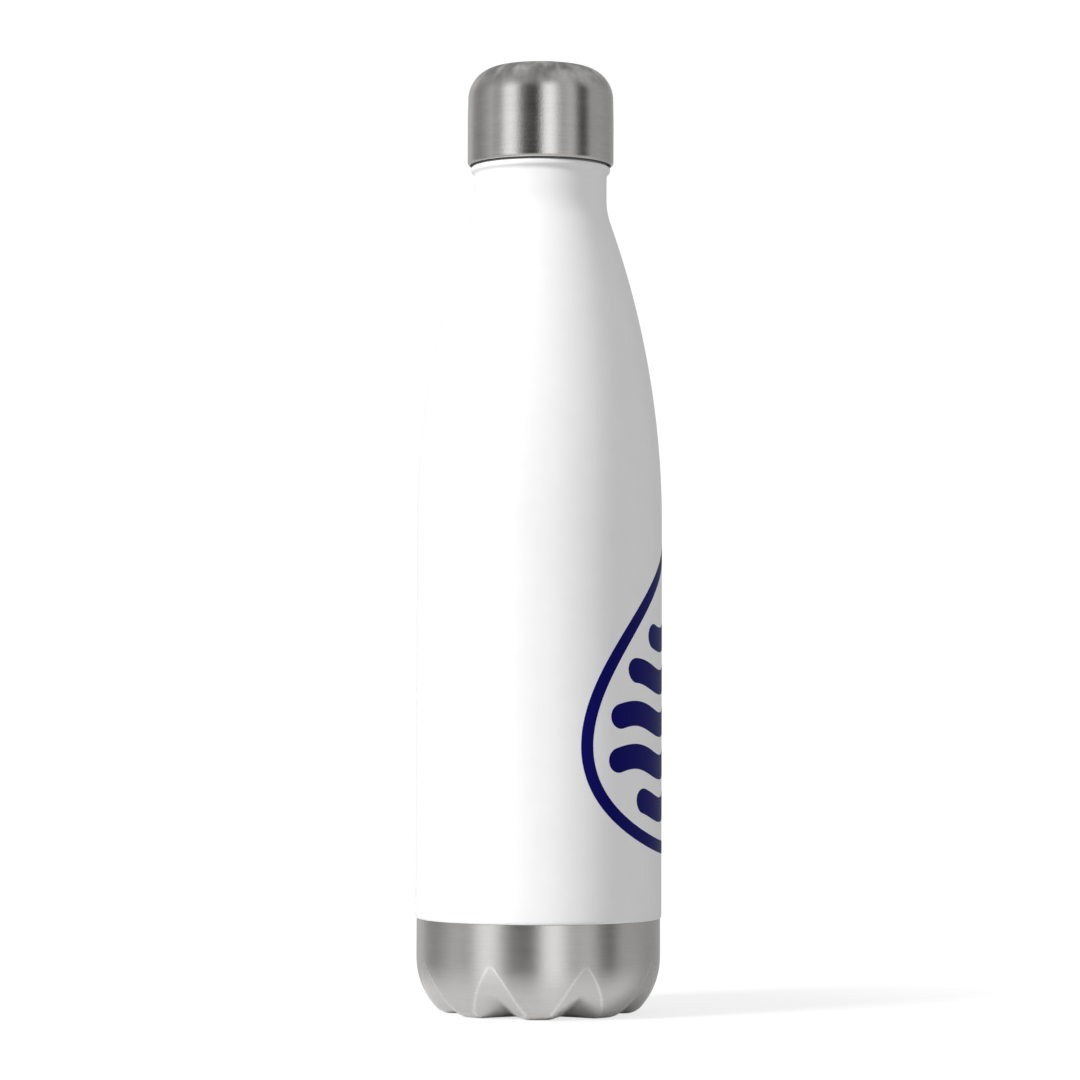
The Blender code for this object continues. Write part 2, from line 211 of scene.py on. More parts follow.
def turn(line, shape=None, columns=ROUND, angles=None):
    """Rings of points from a profile; shape(r, z, angles) may move each ring's radii."""
    if angles is None:
        angles = np.arange(columns) * 2 * pi / columns
    rings = []
    for r, z in line:
        radii = np.full(len(angles), float(r))
        if shape:
            radii = shape(radii, z, angles)
        ring = np.stack([radii * np.cos(angles), radii * np.sin(angles), radii * 0 + z], 1)
        rings.append(ring)
    return rings


def lathe(name, line, loop, mat, shape=None, columns=ROUND):
    """A turned piece; loop closes its profile, which otherwise starts and ends on the axis."""
    return grid(name, turn(line, shape, columns), loop, mat)


def fit(piece, body, node):
    """Hang a piece on its body, in place of its CAD node."""
    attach(piece, body)
    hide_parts(node)
    return piece


def ridge(turns, start_z, half_width, height, flat):
    """Radial height of a right-handed thread ridge that fades in and out at its ends."""
    def raise_at(z, angles):
        lead = (z - start_z) / PITCH - angles / (2 * pi)
        near = np.round(lead)
        off = np.abs(lead - near) * PITCH / half_width
        turn_at = near + angles / (2 * pi)
        fade = np.clip(turn_at / 0.12, 0, 1) * np.clip((turns - turn_at) / 0.12, 0, 1)
        fade = fade * fade * (3 - 2 * fade)
        bump = np.clip((1 - off) / (1 - flat), 0, 1)
        return height * fade * bump * bump * (3 - 2 * bump)
    return raise_at


# Materials

PAINTED_STREAK_SHIFT = (9.0, 0.0, 0.0)  # picks the pattern of the painted reflection streaks on the dome
MOTTLE_DEPTH = 0.00002  # metres; soft unevenness left by the brushing
CAP_TONE = (0.62, 0.612, 0.602)
BASE_TONE = (0.66, 0.652, 0.642)
# Painted highlight on the base's creases, laid over real wear
WEAR_AND_HIGHLIGHT_TONE = (0.93, 0.925, 0.915)


def add_node(tree, kind, inputs=None, **settings):
    """A new shader node; an input takes a value or another node's output."""
    made = tree.nodes.new("ShaderNode" + kind)
    for key, value in settings.items():
        setattr(made, key, value)
    for key, value in (inputs or {}).items():
        if isinstance(value, bpy.types.NodeSocket):
            tree.links.new(value, made.inputs[key])
        else:
            made.inputs[key].default_value = value
    return made


class Tree:
    """A material's node tree, with short calls for the nodes used here."""

    def __init__(self, name):
        self.material = bpy.data.materials.new(name)
        self.material.use_nodes = True
        self.tree = self.material.node_tree
        self.shader = self.tree.nodes["Principled BSDF"]
        self.place = self.add("TexCoord").outputs["Object"]

    def add(self, kind, inputs=None, **settings):
        return add_node(self.tree, kind, inputs, **settings)

    def math(self, operation, *values):
        return self.add("Math", dict(enumerate(values)), operation=operation).outputs[0]

    def vector(self, operation, *values):
        return self.add("VectorMath", dict(enumerate(values)), operation=operation).outputs[0]

    def noise(self, coordinates, scale, detail=2.0, roughness=0.5):
        inputs = {"Vector": coordinates, "Scale": scale, "Detail": detail,
                  "Roughness": roughness}
        return self.add("TexNoise", inputs).outputs["Fac"]

    def spread(self, value, low, high, start=0.0, end=1.0):
        """A value mapped from one range to another, held inside it."""
        inputs = {"Value": value, "From Min": start, "From Max": end, "To Min": low,
                  "To Max": high}
        return self.add("MapRange", inputs).outputs["Result"]

    def blend(self, factor, first, second, blend_type="MIX"):
        """Two colours mixed by a factor."""
        made = self.add("Mix", {"Factor": factor}, data_type="RGBA", blend_type=blend_type)
        for index, value in ((6, first), (7, second)):
            if isinstance(value, bpy.types.NodeSocket):
                self.tree.links.new(value, made.inputs[index])
            else:
                made.inputs[index].default_value = (*value, 1.0)
        return made.outputs[2]

    def bump(self, height, distance, strength=1.0, normal=None):
        inputs = {"Height": height, "Distance": distance, "Strength": strength}
        if normal:
            inputs["Normal"] = normal
        return self.add("Bump", inputs).outputs["Normal"]

    def finish(self, **sockets):
        """Set or link the shader's sockets; underscores in their names stand for spaces."""
        for key, value in sockets.items():
            socket = self.shader.inputs[key.replace("_", " ")]
            if isinstance(value, bpy.types.NodeSocket):
                self.tree.links.new(value, socket)
            elif isinstance(value, tuple):
                socket.default_value = (*value, 1.0)
            else:
                socket.default_value = value
        return self.material


def polar(made, slant):
    """Direction round the axis and distance along a meridian (z plus slant times r)."""
    split = made.add("SeparateXYZ", {"Vector": made.place})
    x, y, z = (split.outputs[i] for i in range(3))
    squared = made.math("ADD", made.math("MULTIPLY", x, x), made.math("MULTIPLY", y, y))
    r = made.math("SQRT", made.math("ADD", squared, 1e-9))
    along = made.math("ADD", z, made.math("MULTIPLY", r, slant))
    return made.math("DIVIDE", x, r), made.math("DIVIDE", y, r), along, r


def grain(made, parts, turns, lines):
    """Coordinates for streaks that run round the axis, in lines per metre of meridian."""
    x, y, along, _ = parts
    inputs = {"X": made.math("MULTIPLY", x, turns), "Y": made.math("MULTIPLY", y, turns),
              "Z": made.math("MULTIPLY", along, lines)}
    return made.add("CombineXYZ", inputs).outputs["Vector"]


def brushed_steel(name, slant, tone, base_roughness, contrast, dome=None):
    """Steel brushed round its axis: fine lines, faint bands and soft cloudy patches.

    Above the dome's height, painted reflection streaks, dark and light, converge on the axis;
    a value stored on the mesh marks creases, lightened there as a painted highlight and made
    smoother as real wear.
    """
    made = Tree(name)
    parts = polar(made, slant)
    fine = made.noise(grain(made, parts, 2.6, 7000.0), 1.0, 3.0, 0.65)
    medium = made.noise(grain(made, parts, 4.0, 2200.0), 1.0, 2.0, 0.6)
    bands = made.noise(grain(made, parts, 0.8, 260.0), 1.0, 1.0)
    clouds = made.noise(made.place, 190.0, 4.0, 0.6)
    lines = made.math("ADD", made.math("MULTIPLY", fine, 0.55), made.math("MULTIPLY", medium, 0.45))
    mixed = made.math("ADD", made.math("MULTIPLY", lines, 0.6), made.math("MULTIPLY", bands, 0.2))
    mixed = made.math("ADD", mixed, made.math("MULTIPLY", clouds, 0.2))
    dark = tuple(t * (1 - contrast) for t in tone)
    light = tuple(min(1.0, t * (1 + contrast)) for t in tone)
    colour = made.blend(made.spread(mixed, 0.0, 1.0, 0.3, 0.7), dark, light)
    roughness = made.spread(mixed, base_roughness - 0.04, base_roughness + 0.04, 0.35, 0.65)
    if dome:
        # Painted reflection: dark and light streaks over the dome, multiplied into its colour.
        around = made.vector("ADD", grain(made, parts, 1.7, 40.0), PAINTED_STREAK_SHIFT)
        streaks = made.spread(made.noise(around, 1.0, 3.0, 0.62), 0.0, 1.0, 0.42, 0.58)
        height = made.add("SeparateXYZ", {"Vector": made.place}).outputs["Z"]
        on_dome = made.spread(height, 0.0, 1.0, dome, dome + 0.006)
        shade = made.blend(streaks, (0.58, 0.58, 0.58), (1.36, 1.36, 1.36))
        shade = made.blend(on_dome, (1.0, 1.0, 1.0), shade)
        colour = made.blend(1.0, colour, shade, "MULTIPLY")
    else:
        # Painted highlight along the creases lightens their colour; real wear makes them smoother.
        wear_and_highlight = made.add("Attribute", attribute_name="wear_and_highlight").outputs["Fac"]
        colour = made.blend(made.math("MULTIPLY", wear_and_highlight, 0.42), colour, WEAR_AND_HIGHLIGHT_TONE)
        roughness = made.math("SUBTRACT", roughness, made.math("MULTIPLY", wear_and_highlight, 0.1))
    mottle = made.noise(made.place, 1500.0, 3.0, 0.7)
    normal = made.bump(lines, 0.000010, 0.6, made.bump(mottle, MOTTLE_DEPTH, 1.0))
    tangent = made.add("Tangent", direction_type="RADIAL", axis="Z").outputs["Tangent"]
    return made.finish(Base_Color=colour, Metallic=1.0, Roughness=roughness, Normal=normal,
                       Anisotropic=0.95, Anisotropic_Rotation=0.25, Tangent=tangent)


def liner_steel():
    """Electropolished liner: soft satin with faint spin lines."""
    made = Tree("satin_liner_steel")
    parts = polar(made, 0.6)
    lines = made.noise(grain(made, parts, 1.4, 1500.0), 1.0, 3.0, 0.6)
    stain = made.noise(made.place, 60.0, 3.0, 0.55)
    colour = made.blend(made.spread(stain, 0.0, 1.0, 0.3, 0.7), (0.60, 0.585, 0.565),
                        (0.70, 0.69, 0.67))
    roughness = made.spread(lines, 0.24, 0.38, 0.3, 0.7)
    normal = made.bump(lines, 0.00002, 0.5)
    tangent = made.add("Tangent", direction_type="RADIAL", axis="Z").outputs["Tangent"]
    return made.finish(Base_Color=colour, Metallic=1.0, Roughness=roughness, Normal=normal,
                       Anisotropic=0.5, Anisotropic_Rotation=0.25, Tangent=tangent)


def powder_coat():
    """White powder coat: a fine orange peel over a faint long swell."""
    made = Tree("white_powder_coat")
    peel = made.noise(made.place, 900.0, 2.0, 0.5)
    swell = made.noise(made.place, 140.0, 1.0)
    specks = made.noise(made.place, 5200.0, 1.0)
    tint = made.math("ADD", made.math("MULTIPLY", swell, 0.6), made.math("MULTIPLY", specks, 0.4))
    colour = made.blend(made.spread(tint, 0.0, 1.0, 0.3, 0.7), (0.915, 0.915, 0.92),
                        (0.94, 0.94, 0.94))
    normal = made.bump(swell, 0.00004, 0.25, made.bump(peel, 0.000012, 0.35))
    roughness = made.spread(peel, 0.28, 0.36, 0.3, 0.7)
    return made.finish(Base_Color=colour, Metallic=0.0, Roughness=roughness, Normal=normal,
                       Specular_IOR_Level=0.35, Coat_Weight=0.12, Coat_Roughness=0.12)


def navy_ink():
    """Screen-printed ink: slightly uneven cover over a fine mesh texture."""
    made = Tree("navy_print_ink")
    cover = made.noise(made.place, 700.0, 3.0, 0.6)
    mesh_lines = made.noise(made.vector("MULTIPLY", made.place, (2600.0,) * 3), 1.0, 1.0)
    colour = made.blend(made.spread(cover, 0.0, 1.0, 0.3, 0.7), (0.0016, 0.0014, 0.115),
                        (0.0026, 0.0022, 0.135))
    roughness = made.spread(mesh_lines, 0.36, 0.46, 0.3, 0.7)
    normal = made.bump(mesh_lines, 0.000006, 0.5)
    return made.finish(Base_Color=colour, Metallic=0.0, Roughness=roughness, Normal=normal,
                       Specular_IOR_Level=0.08)


def moulded_plastic():
    """Black polypropylene with a fine spark-eroded texture."""
    made = Tree("black_moulded_plastic")
    spark = made.add("TexVoronoi", {"Vector": made.place, "Scale": 2600.0}).outputs["Distance"]
    haze = made.noise(made.place, 120.0, 3.0, 0.6)
    colour = made.blend(made.spread(haze, 0.0, 1.0, 0.3, 0.7), (0.017, 0.017, 0.018),
                        (0.03, 0.03, 0.032))
    roughness = made.spread(haze, 0.36, 0.5, 0.3, 0.7)
    normal = made.bump(spark, 0.00002, 0.35)
    return made.finish(Base_Color=colour, Metallic=0.0, Roughness=roughness, Normal=normal)


def silicone():
    """Translucent white silicone with a matt, faintly dusty skin."""
    made = Tree("white_silicone")
    skin = made.noise(made.place, 2400.0, 3.0, 0.6)
    patches = made.noise(made.place, 260.0, 2.0)
    colour = made.blend(made.spread(patches, 0.0, 1.0, 0.3, 0.7), (0.74, 0.745, 0.74),
                        (0.84, 0.845, 0.84))
    roughness = made.spread(skin, 0.45, 0.62, 0.3, 0.7)
    normal = made.bump(skin, 0.000015, 0.5)
    return made.finish(Base_Color=colour, Metallic=0.0, Roughness=roughness, Normal=normal,
                       Subsurface_Weight=0.15, Subsurface_Scale=0.002, Sheen_Weight=0.1)


def foam():
    """Closed-cell white foam: small round cells with pale walls."""
    made = Tree("insulating_foam")
    cells = made.add("TexVoronoi", {"Vector": made.place, "Scale": 900.0}).outputs["Distance"]
    colour = made.blend(made.spread(cells, 0.0, 1.0, 0.05, 0.6), (0.86, 0.86, 0.83),
                        (0.70, 0.70, 0.66))
    normal = made.bump(cells, 0.0004, 0.8)
    return made.finish(Base_Color=colour, Metallic=0.0, Roughness=0.85, Normal=normal)


def crinkled_copper():
    """Thin copper foil with creases and slightly browned patches."""
    made = Tree("crinkled_copper_foil")
    creases = made.add("TexVoronoi", {"Vector": made.place, "Scale": 90.0},
                       feature="DISTANCE_TO_EDGE").outputs["Distance"]
    tarnish = made.noise(made.place, 70.0, 4.0, 0.6)
    colour = made.blend(made.spread(tarnish, 0.0, 1.0, 0.35, 0.7), (0.86, 0.46, 0.30),
                        (0.62, 0.30, 0.18))
    roughness = made.spread(tarnish, 0.2, 0.36, 0.3, 0.7)
    normal = made.bump(creases, 0.0006, 0.5)
    return made.finish(Base_Color=colour, Metallic=1.0, Roughness=roughness, Normal=normal)


def getter_powder():
    """Pressed grey getter powder."""
    made = Tree("pressed_getter_powder")
    grains = made.noise(made.place, 5200.0, 4.0, 0.7)
    colour = made.blend(made.spread(grains, 0.0, 1.0, 0.35, 0.65), (0.12, 0.12, 0.13),
                        (0.26, 0.26, 0.27))
    normal = made.bump(grains, 0.00008, 0.8)
    return made.finish(Base_Color=colour, Metallic=0.0, Roughness=0.85, Normal=normal)


def solder_glass():
    """Dark solder glass: glossy, with a few bubbles and a cloudy core."""
    made = Tree("dark_solder_glass")
    bubbles = made.add("TexVoronoi", {"Vector": made.place, "Scale": 1400.0}).outputs["Distance"]
    cloud = made.noise(made.place, 800.0, 3.0, 0.6)
    colour = made.blend(made.spread(cloud, 0.0, 1.0, 0.3, 0.7), (0.05, 0.055, 0.06),
                        (0.13, 0.14, 0.15))
    roughness = made.spread(bubbles, 0.3, 0.12, 0.0, 0.35)
    normal = made.bump(bubbles, 0.00005, 0.3)
    return made.finish(Base_Color=colour, Metallic=0.0, Roughness=roughness, Normal=normal)


# Fixed bottle

def bead_line():
    """Collar that carries the liner's rim, the bead below it, and a fillet to the neck."""
    crown = 0.55
    crown_z = BEAD_TOP - crown
    belly = 1.2
    bend = 48
    neck_r = NECK_R - INK
    belly_r = BEAD_R - belly
    belly_z = 250.6
    hollow = (belly_r + belly * cos(radians(bend)) - neck_r) / (1 - cos(radians(bend)))
    hollow_r = belly_r + (belly + hollow) * cos(radians(bend))
    hollow_z = belly_z - (belly + hollow) * sin(radians(bend))
    line = [(COLLAR_R - 0.2, SHELL_TOP), (COLLAR_R, SHELL_TOP - 0.15)]
    line += [(COLLAR_R, BEAD_TOP + 0.25), (COLLAR_R + 0.1, BEAD_TOP + 0.05)]
    line += arc(BEAD_R - crown, crown_z, crown, 90, 0, 8)
    line += arc(belly_r, belly_z, belly, 0, -bend, 10)
    line += arc(hollow_r, hollow_z, hollow, 180 - bend, 180, 10)[1:]
    return line


def coat_foot():
    """Lower edge of the coat, rounded over where it meets the steel."""
    skin = BODY_R - INK
    return [(skin, SHELL_FOOT + 1.4), (skin - 0.03, SHELL_FOOT + 0.95),
            (skin - 0.1, SHELL_FOOT + 0.55), (skin - 0.22, SHELL_FOOT + 0.2),
            (skin - 0.36, SHELL_FOOT + 0.02)]


def make_coated_shell(coat):
    """White outer tube: bead, neck, shoulder and straight body."""
    line = bead_line()
    top = shoulder(INK)
    line += straight(line[-1], top[0], 1.5)[1:] + top[:-1]
    foot = coat_foot()
    line += straight(top[-1], foot[0], 4.0) + foot
    piece = lathe("coated_shell", walled(line, SHELL_WALL - INK), True, coat, columns=256)
    return fit(piece, "bottle", "outer_shell")


def smooth_least(first, second, soft):
    """The lesser of two arrays, rounded over where they are nearly equal."""
    close = np.maximum(soft - np.abs(first - second), 0) / np.maximum(soft, 1e-6)
    return np.minimum(first, second) - close * close * soft / 4


def cup_profile():
    """Outer half-section of the plain cup, from its straight side to the foot's flat."""
    end = radians(CUP_ARC_END)
    fillet = (CUP_ARC_Z - CUP_ARC_R * sin(end)) / (1 - sin(end))
    fillet_r = CUP_R - CUP_ARC_R * (1 - cos(end)) - fillet * cos(end)
    side = arc(CUP_R - CUP_ARC_R, CUP_ARC_Z, CUP_ARC_R, 0, -CUP_ARC_END, 80)
    foot = arc(fillet_r, fillet, fillet, -CUP_ARC_END, -90, 60)[1:]
    flat = straight(foot[-1], (RECESS_R - 2, 0.0), 0.25)[1:] + [(RECESS_R - 2, 0.0)]
    return straight((CUP_R, SHELL_FOOT), side[0], 0.25) + side + foot + flat


HUB_R = 19.0  # rays that shape the feet start from this ring inside the cup
HUB_Z = 14.0
BASE_RAYS = 124
MISS = 99.0  # reach given to a ray that meets nothing
CREASE_SOFT = 0.16  # rounding of the flutes' edges
CREASE_RIDGE = 0.025  # those edges stand this far proud
CREASE_HALF = 0.34  # half-width of the line of painted highlight and wear along them
CREASE_FADE = 1.5  # height over which the edges fade in below a flute's point
TUNNEL_SOFT = 1.5  # rounding of the channels' edges
TUNNEL_ROUND = 0.028  # rounding of their roof, in radians
FLUTE_SPAN = 15.0  # a flute reaches this far to each side of its middle, in degrees


def flute_profile():
    """Section along a flute's middle: an arc below, easing into the cup at a pointed top."""
    z = np.linspace(-4.0, FLUTE_TIP, 400)
    arc_r = FLUTE_AXIS_R + np.sqrt(FLUTE_ARC_R ** 2 - (z - FLUTE_TOP) ** 2)
    cup_r = CUP_R - CUP_ARC_R + np.sqrt(CUP_ARC_R ** 2 - np.minimum(z - CUP_ARC_Z, 0) ** 2)
    below = FLUTE_TIP - z
    half = FLUTE_SPREAD[0] * below - FLUTE_SPREAD[1] * below ** 2
    eased = np.clip((z - 2.5) / 4.0, 0, 1)
    eased = eased * eased * (3 - 2 * eased)
    return arc_r + eased * (cup_r - half ** 2 / (2 * cup_r) - arc_r), z


def facet_reach(beta, scale):
    """Distance along a ray to the flutes' flat-bottomed section, or MISS where there is none."""
    flute_r, flute_z = flute_profile()
    found = {}
    for value in np.unique(np.round(scale, 9)):
        across = flute_r / value - HUB_R
        angle = np.arctan2(flute_z - HUB_Z, across)
        far = np.hypot(flute_z - HUB_Z, across)
        found[value] = np.interp(beta, angle, far, right=MISS)
    return np.array([found[value] for value in np.round(scale, 9)])


def foot_reach(beta, offset):
    """Distance along a ray from the hub ring to the cup's skin, and how much painted crease
    highlight and wear the skin gets there.

    Beta is the ray's angle above the horizontal, and offset its angle from the nearest flute.
    """
    line = np.array(cup_profile())
    angles = np.arctan2(line[:, 1] - HUB_Z, line[:, 0] - HUB_R)
    reach = np.hypot(line[:, 1] - HUB_Z, line[:, 0] - HUB_R)
    body = np.full(offset.shape, np.interp(-beta, -angles, reach))
    scale = np.cos(offset)
    facet = facet_reach(beta, scale)
    skin_z = HUB_Z + body * sin(beta)
    soft = CREASE_SOFT * np.clip((FLUTE_TIP - skin_z) / 5.0, 0, 1)
    skin = smooth_least(body, facet, soft)
    width = CREASE_HALF * np.maximum(np.tan(np.abs(offset)), 0.035)
    edge = np.exp(-((body - facet) / width) ** 2)
    edge *= np.clip((FLUTE_TIP - skin_z) / CREASE_FADE, 0, 1)
    skin = skin + CREASE_RIDGE * edge
    slant = TUNNEL_RISE / TUNNEL_SPREAD
    across = np.sqrt(np.sin(offset) ** 2 + TUNNEL_ROUND ** 2) - TUNNEL_ROUND
    rise = TUNNEL_RISE * scale - slant * across
    roof = HUB_R * rise - TUNNEL_RISE * TUNNEL_TIP_R
    speed = np.sin(beta) - rise * np.cos(beta)
    tunnel = np.where(speed < -1e-4, (roof - HUB_Z) / np.minimum(speed, -1e-4), MISS)
    # Mask for the painted crease highlight and the real wear along the creases.
    wear_and_highlight = edge * np.clip((tunnel - skin) / TUNNEL_SOFT, 0, 1)
    return smooth_least(skin, tunnel, TUNNEL_SOFT), wear_and_highlight


def make_fluted_base(steel):
    """Pressed cup with eight feet; its skin is found by rays from a ring inside it.

    Columns are close together over the flutes and wide apart over the feet. The inner skin
    takes every third ring.
    """
    pitch = 2 * pi / FLUTES
    span = radians(FLUTE_SPAN)
    over_flute = np.linspace(-span, span, 49)
    over_foot = np.linspace(span, pitch - span, 9)[1:-1]
    from_flute = np.concatenate([over_flute, over_foot - pitch * (over_foot > pitch / 2)])
    offset = np.tile(from_flute, FLUTES)
    middles = (np.arange(FLUTES) + 0.5) * pitch
    azimuth = (middles[:, None] + np.concatenate([over_flute, over_foot])).ravel()
    columns = len(azimuth)
    spigot_r = BODY_R - SHELL_WALL - 0.3
    top = [(spigot_r, CUP_TOP), (spigot_r, SHELL_FOOT + 0.05), (CUP_R - 0.12, SHELL_FOOT),
           (CUP_R - 0.02, SHELL_FOOT - 0.05), (CUP_R, SHELL_FOOT - 0.15)]
    ray_top = 19.5
    top += straight((CUP_R, SHELL_FOOT - 0.5), (CUP_R, ray_top), 2.0)
    start = atan2(ray_top - HUB_Z, CUP_R - HUB_R)
    edge_r = RECESS_R + 0.6
    end = -pi / 2 - atan2(HUB_R - edge_r, HUB_Z)
    wear_and_highlight = []
    skin = turn(top, angles=azimuth)
    within = turn([(r - CUP_WALL, z) for r, z in top], angles=azimuth)
    for i, beta in enumerate(np.linspace(start, end, BASE_RAYS)):
        reach, ray_wear_and_highlight = foot_reach(beta, offset)
        wear_and_highlight.append(ray_wear_and_highlight)
        for rings, cut in ((skin, 0.0), (within, CUP_WALL * 1.15)):
            if cut and i % 3:
                continue
            r = HUB_R + (reach - cut) * cos(beta)
            z = np.maximum(HUB_Z + (reach - cut) * sin(beta), 0.0)
            rings.append(np.stack([r * np.cos(azimuth), r * np.sin(azimuth), z], 1))
    middle = arc(edge_r, 0.6, 0.6, -90, -180, 5)[1:] + [(RECESS_R - 0.1, RECESS_DEPTH - 0.5)]
    middle += [(RECESS_R - 0.25, RECESS_DEPTH - 0.15), (RECESS_R - 0.7, RECESS_DEPTH)]
    middle += straight((RECESS_R - 0.7, RECESS_DEPTH), (5.4, RECESS_DEPTH), 1.6)[1:]
    middle += [(5.4, RECESS_DEPTH), (4.9, RECESS_DEPTH + 0.2), (4.4, 2.9), (4.0, 3.1)]
    middle += [(3.2, 3.2), (1.1, 3.2)]
    floor = [(edge_r + 0.3, CUP_WALL)] + [(r + 0.1, z + CUP_WALL) for r, z in middle[3:]]
    skin += turn(middle, angles=azimuth)
    within += turn(floor, angles=azimuth)
    piece = grid("fluted_base", skin + within[::-1], True, steel)
    # The crease mask goes onto the mesh for the material's painted highlight and wear.
    marks = np.zeros(len(piece.data.vertices), np.float32)
    first = len(top) * columns
    marks[first:first + len(wear_and_highlight) * columns] = np.concatenate(wear_and_highlight)
    piece.data.attributes.new("wear_and_highlight", "FLOAT", "POINT").data.foreach_set("value", marks)
    return fit(piece, "bottle", "base_cup")


def make_vessel_liner(steel):
    """Liner tube: rim turned out over the bead, rolled thread, neck, shoulder and wall."""
    neck_r = NECK_R - LINER_INSET
    bend = 0.8
    line = [(BEAD_R - 0.42, LINER_TOP - LINER_WALL), (BEAD_R - 1.2, LINER_TOP - LINER_WALL)]
    line += arc(neck_r + bend, LINER_TOP - LINER_WALL - bend, bend, 90, 180, 6)
    rim_points = len(line) - 1
    top = shoulder(LINER_INSET)
    line += straight(line[-1], top[0], 0.3)[1:] + top[:-1]
    line += straight(top[-1], (LINER_R, LINER_FOOT), 6.0) + [(LINER_R, LINER_FOOT)]
    turns = 1.6
    thread = ridge(turns, THREAD_Z, 1.25, 0.93, 0.15)
    low = THREAD_Z - 1.5
    high = THREAD_Z + turns * PITCH + 1.5

    def press(radii, z, angles):
        return radii - thread(z, angles) if low < z < high and radii[0] < neck_r + 1 else radii

    inner = [(BEAD_R - 0.42, LINER_TOP), (BEAD_R - 1.2, LINER_TOP)]
    reach = bend + LINER_WALL
    inner += arc(neck_r + bend, LINER_TOP - reach, reach, 90, 180, 6)
    inner += inside(line[rim_points:], LINER_WALL)[1:]
    piece = lathe("vessel_liner", line + inner[::-1], True, steel, press)
    return fit(piece, "bottle", "inner_vessel")


def make_vessel_bottom(steel):
    """Dished bottom with a joggle that laps inside the liner's foot."""
    lap_r = LINER_R - LINER_WALL - 0.3
    corner = 12.0
    line = [(lap_r, BOTTOM_TOP), (lap_r, LINER_FOOT + 0.3), (lap_r + 0.25, LINER_FOOT - 0.2),
            (LINER_R - 0.1, LINER_FOOT - 0.8), (LINER_R, LINER_FOOT - 1.3)]
    line += straight((LINER_R, LINER_FOOT - 1.3), (LINER_R, BOTTOM_Z + corner), 1.5)[1:]
    line += arc(LINER_R - corner, BOTTOM_Z + corner, corner, 0, -90, 18)
    for i in range(1, 15):
        share = i / 14
        line.append(((LINER_R - corner) * (1 - share), BOTTOM_Z + share * share * (3 - 2 * share)))
    above = inside(line, LINER_WALL)
    above[-1] = (0.0, line[-1][1] + LINER_WALL)
    piece = lathe("vessel_bottom", line + above[::-1], True, steel)
    return fit(piece, "bottle", "inner_bottom")


def make_recess_disc(steel):
    """Stamped disc let into the base: a rolled edge and two shallow steps."""
    line = [(0.0, DISC_TOP), (DISC_R - 0.15, DISC_TOP), (DISC_R, DISC_TOP - 0.15),
            (DISC_R, DISC_LOW + 0.2), (DISC_R - 0.06, DISC_LOW + 0.06), (DISC_R - 0.2, DISC_LOW),
            (DISC_R - 1.5, DISC_LOW), (DISC_R - 1.8, DISC_LOW + 0.18), (8.2, DISC_LOW + 0.18),
            (7.9, DISC_LOW + 0.3), (0.0, DISC_LOW + 0.3)]
    piece = lathe("recess_disc", line, False, steel, columns=128)
    return fit(piece, "bottle", "base_disc")


# Print

DROP_HALF_WIDTH = 43.0
DROP_LOW = 49.0
DROP_HIGH = 137.0
DROP_STROKE = 3.8
WAVE_HEIGHTS = (62.0, 74.5, 87.0, 99.5, 112.0)
WAVE_HALF = 3.6  # half-width of a stripe
WAVE_SWING = 1.7
WAVE_LENGTH = 34.0
WAVE_GAP = 3.6  # clear space between the outline and a wave's end
INK_PROUD = 0.038  # the ink's outer skin stands this far off the coat
INK_SUNK = 0.012  # its inner skin lies this deep in the coat


def decal(name, left, right, closed, ink, across=6):
    """A thin closed skin of ink on the body, between two lines of (arc, height) points.

    Arc runs round the body from its +X side, positive towards the back.
    """
    left, right = np.array(left), np.array(right)
    steps = np.linspace(0, 1, across + 1)[:, None]
    outer_r = BODY_R - INK + INK_PROUD
    inner_r = BODY_R - INK - INK_SUNK
    rows = []
    for a, b in zip(left, right):
        flat = a + (b - a) * steps
        angle = flat[:, 0] / BODY_R
        ring = [np.stack([r * np.cos(angle), r * np.sin(angle), flat[:, 1]], 1)
                for r in (outer_r, inner_r)]
        rows.append(np.concatenate([ring[0], ring[1][::-1]]))
    points = np.concatenate(rows)
    width = len(rows[0])
    faces = []
    count = len(rows)
    for i in range(count if closed else count - 1):
        for j in range(width):
            k = (j + 1) % width
            here, there = i * width, ((i + 1) % count) * width
            faces.append([here + j, there + j, there + k, here + k])
    if not closed:
        for here, flip in ((0, 1), ((count - 1) * width, -1)):
            for j in range(across):
                face = [here + j, here + j + 1, here + width - 2 - j, here + width - 1 - j]
                faces.append(face[::flip])
    mesh = bpy.data.meshes.new(name)
    mesh.from_pydata((points * MM).tolist(), [], faces)
    solid = bmesh.new()
    solid.from_mesh(mesh)
    bmesh.ops.remove_doubles(solid, verts=solid.verts, dist=1e-7)
    bmesh.ops.recalc_face_normals(solid, faces=solid.faces)
    solid.to_mesh(mesh)
    solid.free()
    mesh.shade_smooth()
    mesh.set_sharp_from_angle(angle=radians(30))
    mesh.materials.append(ink)
    made = bpy.data.objects.new(name, mesh)
    bpy.context.scene.collection.objects.link(made)
    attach(made, "bottle")
    return made


def offset_line(line, distance, closed):
    """A line moved sideways by a distance, or by one distance for each point."""
    points = np.array(line)
    if closed:
        along = np.roll(points, -1, 0) - np.roll(points, 1, 0)
    else:
        along = np.gradient(points, axis=0)
    along /= np.linalg.norm(along, axis=1)[:, None]
    side = np.stack([along[:, 1], -along[:, 0]], 1)
    return points + side * np.reshape(distance, (-1, 1))


def drop_outline(half_width, low, high, count):
    """A full water drop: a round belly that narrows to a point at the top."""
    turns = np.arange(count) * 2 * pi / count
    across = np.sin(turns) * np.sin(turns / 2) ** 0.9
    across *= half_width / across.max()
    return np.stack([across, low + (high - low) * (1 + np.cos(turns)) / 2], 1)


